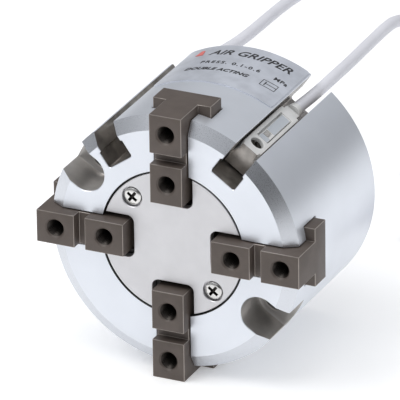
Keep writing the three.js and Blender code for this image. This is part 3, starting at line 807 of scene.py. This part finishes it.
def add_body():
    body = painted(body_blank(), blank_skin_or_shade)
    front, e = BODY_LENGTH, EDGE
    stem, rail = STEM_HALF + CLEARANCE, RAIL_HALF + CLEARANCE
    low, high = RAIL_FROM - CLEARANCE, RAIL_TO + CLEARANCE
    right_side = [(rail, low), (rail, high), (stem, high), (stem, front - CHAMFER_AXIAL),
                  (stem, front - e), (stem + 2 * e, front + e), (stem + 2 * e, front + 2)]
    tee = [(-y, z) for y, z in right_side][:1] + right_side
    tee += [(-y, z) for y, z in right_side[:0:-1]]
    tools = []
    for quarter in range(4):
        tools.append(turn(painted(slot_cutter(tee), slot_skin_or_shade), 90 * quarter))
    for quarter in range(4):
        room = box("cam room", (-1, CAVITY_REACH), (-CAVITY_HALF, CAVITY_HALF), (22, front + 1))
        # Painted shade: every face a cam room leaves is dark.
        tools.append(turn(painted(room, lambda centre: SHADOWED), 90 * quarter))
    for angle in GROOVE_ANGLES.values():
        channel = prism("groove", groove_outline(), flared(0, front))
        tools.append(turn(painted(channel, groove_skin_or_shade), angle))
    for angle in POCKET_ANGLES:
        floor = front - POCKET_DEPTH
        levels = [(floor, -0.35), (floor + 0.1, -0.1), (floor + 0.35, 0)] + flared(0, front)[3:]
        recess = prism("pocket", pocket_outline(), levels)
        tools.append(turn(painted(recess, pocket_skin_or_shade), angle))
        hole = shift(prism("bolt hole", circle(POCKET_HOLE), flared(0, floor)), POCKET_RADIUS, 0, 0)
        tools.append(turn(painted(hole, pocket_skin_or_shade), angle))
    face_at = BODY_RADIUS - PORT_FACE_DEPTH
    for z in PORT_PLACES:
        port = thread_cutter(PORT_MINOR, PORT_MAJOR, PORT_PITCH, PORT_BOTTOM, face_at, PORT_SINK)
        tools.append(turn(shift(turn(port, 90, "Y"), 0, 0, z), PORT_ANGLE))
        face = prism("port face", circle(PORT_FACE), [(face_at, 0), (BODY_RADIUS + 2, 0)])
        tools.append(turn(shift(turn(face, 90, "Y"), 0, 0, z), PORT_ANGLE))
        through = [(BORE_RADIUS - 1, 0), (PORT_BOTTOM + 1, 0)]
        duct = prism("port duct", circle(DUCT_RADIUS, steps=16), through)
        tools.append(turn(shift(turn(duct, 90, "Y"), 0, 0, z), PORT_ANGLE))
    levels = [(-1, 2 * e), (-e, 2 * e), (e, 0), (DOWEL_DEPTH, 0)]
    tools.append(shift(prism("dowel", circle(DOWEL_RADIUS), levels), DOWEL_PLACE, 0, 0))
    combine(body, tools)
    finish_piece(body, BODY_SKIN_AND_SHADES, "root", ["body"])


add_body()


# ------------------------------------------------------------------ end plate and screws
def plate_outline():
    """The disc with its four finger slots, anticlockwise."""
    points = []
    half, start, corner = PLATE_SLOT_HALF, PLATE_SLOT_START, PLATE_SLOT_CORNER
    rim = math.degrees(math.asin(half / PLATE_RADIUS))
    for quarter in range(4):
        spin = Matrix.Rotation(math.radians(90 * quarter), 2)
        slot = arc((start + corner, corner - half), corner, 270, 180, 8)
        slot += arc((start + corner, half - corner), corner, 180, 90, 8)
        lobe = slot + arc((0, 0), PLATE_RADIUS, rim, 90 - rim, 40)
        points += [tuple(spin @ Vector(p)) for p in lobe]
    return points


def add_end_plate():
    plate = prism("end_plate_disc", plate_outline(), edged(PLATE_FROM, BODY_LENGTH))
    tools = []
    for angle in SCREW_ANGLES:
        for radius, low in SCREW_SEATS:
            levels = [(low, 0)] + flared(low, BODY_LENGTH)[3:]
            hole = shift(prism("hole", circle(radius), levels), SCREW_CIRCLE, 0, 0)
            tools.append(turn(hole, angle))
    combine(plate, tools)
    finish_piece(plate, [PLATE], "root", ["end_plate"])


def add_plate_screw(number, angle):
    screw = lathe(f"plate_screw_{number}", [
        (0, 33), (0.85, 33), (0.85, 39), (1.85, 39), (1.95, 39.1), (1.95, 39.45),
        (1.88, 39.62), (1.7, 39.76), (1.4, 39.86), (0.9, 39.93), (0, 39.95),
    ], 64)
    finishes_and_painted_light = [BRIGHT, BLACK_SCREW_AND_RECESS_SHADE]
    set_materials(screw, finishes_and_painted_light)
    levels = [(39.1, -0.12), (39.5, 0), (41, 0.3)]
    long, thin = CROSS_REACH, CROSS_HALF
    tools = []
    for spin in CROSS_ANGLES:
        wing = prism("recess", [(-long, -thin), (long, -thin), (long, thin), (-long, thin)], levels)
        set_materials(wing, finishes_and_painted_light)
        # Painted shade: the cross recess of the plated screw is black.
        for face in wing.data.polygons:
            face.material_index = 1
        tools.append(turn(wing, spin))
    combine(screw, tools)
    shift(screw, SCREW_CIRCLE, 0, 0)
    turn(screw, angle)
    finish_piece(screw, finishes_and_painted_light, "root", [f"end_plate_screw_{number}"])


add_end_plate()
for index, screw_angle in enumerate(SCREW_ANGLES):
    add_plate_screw(index + 1, screw_angle)


# ------------------------------------------------------------------ fingers
def cam_face(z):
    return CAM_TIP + CAM_SLOPE * (CAM_TO - z)


def side_plate(name, points, half):
    """An (x, z) outline, thick along y."""
    rings = [[(x, y, z) for x, z in points] for y in (-half, half)]
    return loft(name, rings)


def sloped_band(low, high, under, over, half):
    return side_plate("band", [
        (cam_face(low) + under, low), (cam_face(low) + over, low),
        (cam_face(high) + over, high), (cam_face(high) + under, high),
    ], half)


def finger_blank():
    profile = [(-RAIL_HALF, RAIL_FROM), (RAIL_HALF, RAIL_FROM), (RAIL_HALF, RAIL_TO),
               (STEM_HALF, RAIL_TO), (STEM_HALF, FINGER_FRONT), (-STEM_HALF, FINGER_FRONT),
               (-STEM_HALF, RAIL_TO), (-RAIL_HALF, RAIL_TO)]
    rings = [[(x, y, z) for y, z in profile] for x in (FINGER_INNER, FINGER_OUTER)]
    blank = loft("finger", rings)
    key = box("key", (KEY_FROM, KEY_TO), (-9, 9), (FINGER_FRONT - KEY_DEPTH, FINGER_FRONT + 1))
    return combine(blank, [key])


def add_fingers():
    finger = finger_blank()
    finishes_and_painted_light = [FINGER, EDGE_WEAR_AND_HIGHLIGHT, THREAD_SHADE]
    set_materials(finger, finishes_and_painted_light)
    # The bevel faces get the brighter edge material: edge wear and painted highlight.
    bevel(finger, FINGER_EDGE, 2, 1)
    holes = []
    for x in HOLE_PLACES:
        hole = thread_cutter(HOLE_MINOR, HOLE_MAJOR, HOLE_PITCH, FINGER_FRONT - HOLE_DEPTH,
                             FINGER_FRONT, SINK_RADIUS)
        set_materials(hole, finishes_and_painted_light)
        for face in hole.data.polygons:
            # Painted shade: faces deeper than the countersink are dark.
            deep = face.center.z < FINGER_FRONT - 0.35
            face.material_index = 2 if deep else 0
        holes.append(shift(hole, x, 0, 0))
    combine(finger, holes)
    gap, floor = CAM_GAP, HOOK_FLOOR
    leg = side_plate("leg", [
        (cam_face(LEG_FROM) + gap, LEG_FROM), (LEG_OUTER, LEG_FROM), (LEG_OUTER, LEG_TO),
        (FINGER_INNER + 0.5, LEG_TO), (cam_face(HOOK_TO) + gap, HOOK_TO)], LEG_HALF)
    flange = sloped_band(HOOK_FROM, HOOK_TO, floor, floor + HOOK_THICK, HOOK_HALF)
    neck = sloped_band(HOOK_FROM, HOOK_TO, floor + 1, gap + 0.3, NECK_HALF)
    combine(finger, [leg, flange, neck], "UNION")
    names = ("right", "top", "left", "bottom")
    for quarter, name in enumerate(names):
        piece = finger.copy()
        piece.data = finger.data.copy()
        piece.name = f"jaw_{name}"
        bpy.context.scene.collection.objects.link(piece)
        turn(piece, 90 * quarter)
        finish_piece(piece, finishes_and_painted_light, f"finger_{name}_body",
                     [f"finger_{name}"], 40)
    bpy.data.objects.remove(finger, do_unlink=True)


add_fingers()


# ------------------------------------------------------------------ label
def wrapped(x, z, radius):
    """x along the rim from the top towards the right, in mm, at a radius; z axial."""
    angle = math.pi / 2 - x / BODY_RADIUS
    return (radius * math.cos(angle), radius * math.sin(angle), z)


def add_label():
    """A thin film: a fine grid clipped to the outline, wrapped round the body."""
    half = math.radians(LABEL_HALF_ANGLE) * BODY_RADIUS
    columns = 72
    top, under = [], []
    corner = 0.6
    for i in range(columns + 1):
        x = -half + 2 * half * i / columns
        inset = 0.0
        past = abs(x) - (half - corner)
        if past > 0:
            inset = corner - math.sqrt(max(corner ** 2 - past ** 2, 0))
        for z in (LABEL_FROM + inset, LABEL_TO - inset):
            under.append(wrapped(x, z, LABEL_RADIUS))
            top.append(wrapped(x, z, LABEL_RADIUS + LABEL_FILM))
    vertices = under + top
    lift = len(under)
    faces = []
    for i in range(columns):
        a, b, c, d = 2 * i, 2 * i + 1, 2 * i + 3, 2 * i + 2
        faces.append((a, d, c, b))
        faces.append((a + lift, b + lift, c + lift, d + lift))
        faces.append((a, a + lift, d + lift, d))
        faces.append((b, c, c + lift, b + lift))
    faces.append((0, 1, 1 + lift, lift))
    last = 2 * columns
    faces.append((last, last + lift, last + 1 + lift, last + 1))
    film = mesh_object("label_film", vertices, faces)
    finish_piece(film, [FOIL], "root", ["label"])


def text_mesh(name, words, size, x, z, weight=0.0, shear=0.0, spacing=1.0):
    """Flat lettering as a thin closed mesh, wrapped on the label; tops point to the rear."""
    data = bpy.data.curves.new(name, "FONT")
    data.body = words
    data.size = size
    data.offset = weight
    data.shear = shear
    data.space_character = spacing
    data.extrude = 0.02
    data.resolution_u = 4
    text = bpy.data.objects.new(name, data)
    bpy.context.scene.collection.objects.link(text)
    graph = bpy.context.evaluated_depsgraph_get()
    mesh = bpy.data.meshes.new_from_object(text.evaluated_get(graph))
    bpy.data.objects.remove(text, do_unlink=True)
    obj = bpy.data.objects.new(name, mesh)
    bpy.context.scene.collection.objects.link(obj)
    for vertex in mesh.vertices:
        across, up, lift = vertex.co
        vertex.co = wrapped(x + across, z - up, LABEL_RADIUS + LABEL_FILM + 0.015 + lift)
    return obj


def joined(name, pieces):
    with bpy.context.temp_override(active_object=pieces[0], selected_editable_objects=pieces,
                                   object=pieces[0], selected_objects=pieces):
        bpy.ops.object.join()
    pieces[0].name = name
    return pieces[0]


def strip(x0, x1, z0, z1):
    """A thin printed bar on the label."""
    steps = 6
    rings = []
    for i in range(steps + 1):
        x = x0 + (x1 - x0) * i / steps
        low, high = LABEL_RADIUS + LABEL_FILM - 0.01, LABEL_RADIUS + LABEL_FILM + 0.035
        rings.append([wrapped(x, z0, low), wrapped(x, z1, low), wrapped(x, z1, high),
                      wrapped(x, z0, high)])
    return loft("strip", rings)


def frame_of_strips(x0, x1, z0, z1, width=0.14):
    return [strip(x0, x1, z0, z0 + width), strip(x0, x1, z1 - width, z1),
            strip(x0, x0 + width, z0, z1), strip(x1 - width, x1, z0, z1)]


def add_lettering():
    pieces = [
        text_mesh("line", "AIR GRIPPER", 3.3, -7.3, 5.6, 0.06, 0.25, 1.02),
        text_mesh("line", "PRESS. 0.1-0.6", 1.75, -7.2, 10.4, 0.035, 0.0, 1.3),
        text_mesh("line", "MPa", 1.75, 9.6, 10.4, 0.035, 0.0, 1.1),
        text_mesh("line", "DOUBLE ACTING", 1.75, -9.2, 14.0, 0.06, 0.25, 1.05),
    ]
    pieces += frame_of_strips(8.2, 11.8, 12.0, 14.6)
    pieces += [strip(9.0, 9.2, 12.5, 14.1), strip(9.2, 11.8, 13.2, 13.35)]
    print_mesh = joined("label_print", pieces)
    finish_piece(print_mesh, [INK], "root", [], 60)
    mark = loft("label_mark", [[wrapped(x, z, radius) for x, z in
                                ((-10.6, 5.5), (-8.8, 5.5), (-9.4, 2.9), (-10.2, 2.9))]
                               for radius in (28.24, 28.29)])
    finish_piece(mark, [RED], "root", [])


add_label()
add_lettering()


# ------------------------------------------------------------------ auto switches
def switch_case(side, front, rear):
    """The moulded case: flanged foot, screw block in front, label ridge, rounded rear."""
    foot, flange, neck, top = SWITCH_FOOT, SWITCH_FLANGE, SWITCH_NECK, SWITCH_TOP
    wide, half = SWITCH_HALF_FOOT, SWITCH_HALF
    section = [(foot, -wide), (flange, -wide), (neck, -half), (top, -half),
               (top, half), (neck, half), (flange, wide), (foot, wide)]
    case = prism(f"switch_case_{side}", section, [(rear, 0), (front, 0)])
    ridge_from, ridge_to = rear + 4.2, front - 5.8
    tools = [
        box("left slot", (top - 1.3, top + 1), (0.95, 1.4), (ridge_from, ridge_to)),
        box("right slot", (top - 1.3, top + 1), (-1.55, -1.3), (ridge_from, ridge_to)),
        box("ridge top", (top - 0.18, top + 1), (-1.4, 1.05), (ridge_from, ridge_to)),
        box("window", (top - 0.5, top + 1), (-0.7, 0.7), (front - WINDOW_FROM, front - WINDOW_TO)),
        box("front flank", (neck + 0.6, top + 1), (-3.5, -1.95), (front - 1.0, front + 1)),
        box("front flank", (neck + 0.6, top + 1), (1.95, 3.5), (front - 1.0, front + 1)),
        box("rear flank", (neck, top + 1), (-3.5, -1.7), (rear - 1, rear + 2.2)),
        box("rear flank", (neck, top + 1), (1.7, 3.5), (rear - 1, rear + 2.2)),
        box("rear step", (top - 0.5, top + 1), (-3, 3), (rear - 1, rear + 1.2)),
    ]
    combine(case, tools)
    bevel(case, 0.12, 2)
    hole = prism("screw hole", circle(SWITCH_SCREW_HOLE), [(neck, 0), (top - 0.1, 0),
                                                           (top + 0.1, 0.2), (top + 1, 0.2)])
    combine(case, [shift(turn(hole, 90, "Y"), 0, 0, front - SWITCH_SCREW_BACK)])
    return case


def add_switch(side):
    front = SWITCH_FRONT[side]
    rear = front - SWITCH_LENGTH
    angle = GROOVE_ANGLES[side]
    case = turn(switch_case(side, front, rear), angle)
    set_materials(case, [RESIN, SWITCH_END])
    for face in case.data.polygons:
        face.material_index = 1 if face.center.z > front - 0.06 else 0
    finish_piece(case, [RESIN, SWITCH_END], "root", [f"auto_switch_{side}"])

    screw = prism(f"switch_setscrew_{side}", circle(SWITCH_SCREW), edged(24.05, 25.7, 0.15))
    turn(screw, 90, "Y")
    slot = turn(box("slot", (25.2, 27), (-0.2, 0.2), (-2, 2)), 30, "X")
    combine(screw, [slot])
    shift(screw, 0, 0, front - SWITCH_SCREW_BACK)
    turn(screw, angle)
    finish_piece(screw, [BLACK_SCREW_AND_RECESS_SHADE], "root", [f"switch_screw_{side}"])

    lens = box(f"switch_lens_{side}", (SWITCH_TOP - 0.4, SWITCH_TOP - 0.2), (-0.5, 0.5),
               (front - WINDOW_FROM + 0.2, front - WINDOW_TO - 0.2))
    turn(bevel(lens, 0.06, 2), angle)
    finish_piece(lens, [LENS], "root", [f"switch_lamp_{side}"])

    spans = ((rear + 4.6, front - WINDOW_FROM - 0.15), (front - WINDOW_TO + 0.15, front - 6.0))
    for number, span in enumerate(spans):
        printed = box(f"switch_print_{side}_{number}", (SWITCH_TOP - 0.2, SWITCH_TOP - 0.12),
                      (-1.2, 0.85), span)
        turn(printed, angle)
        finish_piece(printed, [PRINT], "root", [])

    end = rear - GROMMET_GAP
    far = end - GROMMET_LENGTH
    sleeve = lathe(f"lead_grommet_{side}", [
        (0, far), (1.4, far), (1.5, far + 0.1), (1.58, end - 1.1), (1.74, end - 0.3),
        (1.74, end), (0, end)], 48)
    shift(sleeve, LEAD_AXIS, 0, 0)
    turn(sleeve, angle)
    finish_piece(sleeve, [RESIN], "root", [f"cable_grommet_{side}"])


for side_name in ("right", "left"):
    add_switch(side_name)


# ------------------------------------------------------------------ rear closure
def add_rear():
    cap = lathe("rear_cap_disc", [
        (0, 3.3), (1.25, 3.3), (1.25, 3.3), (9.7, 3.3), (10.0, 3.1), (10.35, 2.6), (10.55, 2.5),
        (16.45, 2.5), (16.75, 2.8), (16.75, 3.3), (15.3, 3.3), (15.3, 4.9), (16.75, 4.9),
        (16.75, 5.3), (16.45, 5.6), (0, 5.6)], 160)
    hole = thread_cutter(1.25, 1.5, 0.5, 0, 1.4, 1.65)
    turn(hole, 180, "X")
    shift(hole, 0, 0, 4.7)
    combine(cap, [hole])
    finish_piece(cap, [CAP], "root", ["rear_cap"])

    low, high = RING_FROM, RING_TO
    gap = RING_HALF_GAP
    outline = arc((0, 0), RING_OUTER, gap, 360 - gap, 150)
    outline += arc((0, 0), RING_INNER, 360 - gap, gap, 150)
    ring = prism("retaining_ring", outline, edged(low, high, 0.1))
    ears = []
    for side in (gap, -gap):
        lug = prism("ear", circle(EAR_RADIUS), edged(low, high, 0.1))
        ears.append(turn(shift(lug, EAR_PLACE, 0, 0), side))
    combine(ring, ears, "UNION")
    eyes = []
    for side in (gap, -gap):
        eye = prism("eye", circle(EYE_RADIUS, steps=32), flared(low, high, edge=0.1))
        eyes.append(turn(shift(eye, EYE_PLACE, 0, 0), side))
    combine(ring, eyes)
    turn(ring, 90)
    finish_piece(ring, [SPRING], "root", ["rear_retaining_ring"])


add_rear()

# ------------------------------------------------------------------ hidden CAD nodes
HIDDEN = {
    "piston": CAP, "piston_bolt": BRIGHT, "piston_magnet": MAGNET, "piston_seal": RUBBER,
    "rod_seal": RUBBER, "rear_cap_seal": RUBBER, "wedge_cam": EDGE_WEAR_AND_HIGHLIGHT,
}
for node_name, finish in HIDDEN.items():
    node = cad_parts[node_name]
    if not node.material_slots:
        node.data.materials.append(finish)
    for material_slot in node.material_slots:
        material_slot.material = finish


# ------------------------------------------------------------------ floor and light
FLOOR_TONE, FLOOR_GLOW = 0.95, 0.25
HORIZON, ZENITH = 0.19, 0.53     # strengths of the world
DARK_SIDE, DARK_LEFT = (0.51, -0.85, 0.10), 0.12
KEY_WATTS, TOP_WATTS = 3.7, 4.2


def add_floor():
    floor = mesh_object("floor", [(-3, -3, 0), (3, -3, 0), (3, 3, 0), (-3, 3, 0)], [(0, 1, 2, 3)])
    n = Nodes("floor paper")
    n.set(Base_Color=(FLOOR_TONE, FLOOR_TONE, FLOOR_TONE, 1), Roughness=0.9, Emission_Color=(1, 1, 1, 1),
          Emission_Strength=FLOOR_GLOW)
    n.bump(n.noise(900, 2.0), 0.00001, 0.2)
    floor.data.materials.append(n.material)


def add_area_light(name, azimuth, elevation, distance, size, watts, tone=(1, 1, 1)):
    a, e = math.radians(azimuth), math.radians(elevation)
    away = Vector((math.sin(a) * math.cos(e), -math.cos(a) * math.cos(e), math.sin(e)))
    data = bpy.data.lights.new(name, "AREA")
    data.shape = "RECTANGLE"
    data.size, data.size_y = size
    data.energy = watts
    data.color = tone
    light = bpy.data.objects.new(name, data)
    bpy.context.scene.collection.objects.link(light)
    light.matrix_world = (Matrix.Translation(Vector((0, 0, 0.03)) + away * distance)
                          @ (-away).to_track_quat("-Z", "Y").to_matrix().to_4x4())


def add_world():
    """A pale room: bright above, dimmer at the horizon, and darker behind the camera."""
    world = bpy.data.worlds.new("studio")
    world.use_nodes = True
    tree = world.node_tree
    direction = tree.nodes.new("ShaderNodeTexCoord").outputs["Generated"]

    def lobe(towards, start, end, low, high):
        dot = tree.nodes.new("ShaderNodeVectorMath")
        dot.operation = "DOT_PRODUCT"
        tree.links.new(direction, dot.inputs[0])
        dot.inputs[1].default_value = Vector(towards).normalized()
        ramp = tree.nodes.new("ShaderNodeMapRange")
        ramp.interpolation_type = "SMOOTHSTEP"
        tree.links.new(dot.outputs["Value"], ramp.inputs["Value"])
        for key, value in (("From Min", start), ("From Max", end), ("To Min", low),
                           ("To Max", high)):
            ramp.inputs[key].default_value = value
        return ramp.outputs["Result"]

    product = tree.nodes.new("ShaderNodeMath")
    product.operation = "MULTIPLY"
    tree.links.new(lobe((0, 0, 1), 0.0, 0.55, HORIZON, ZENITH), product.inputs[0])
    tree.links.new(lobe(DARK_SIDE, 0.80, 0.97, 1.0, DARK_LEFT), product.inputs[1])
    background = tree.nodes["Background"]
    background.inputs["Color"].default_value = (0.94, 0.96, 1.0, 1)
    tree.links.new(product.outputs[0], background.inputs["Strength"])
    bpy.context.scene.world = world


def add_lights():
    add_world()
    add_area_light("key", -50, 58, 1.0, (0.6, 0.6), KEY_WATTS)
    add_area_light("top", 60, 80, 1.2, (1.0, 1.0), TOP_WATTS)
    bpy.context.scene.view_settings.view_transform = "Standard"


add_floor()
add_lights()
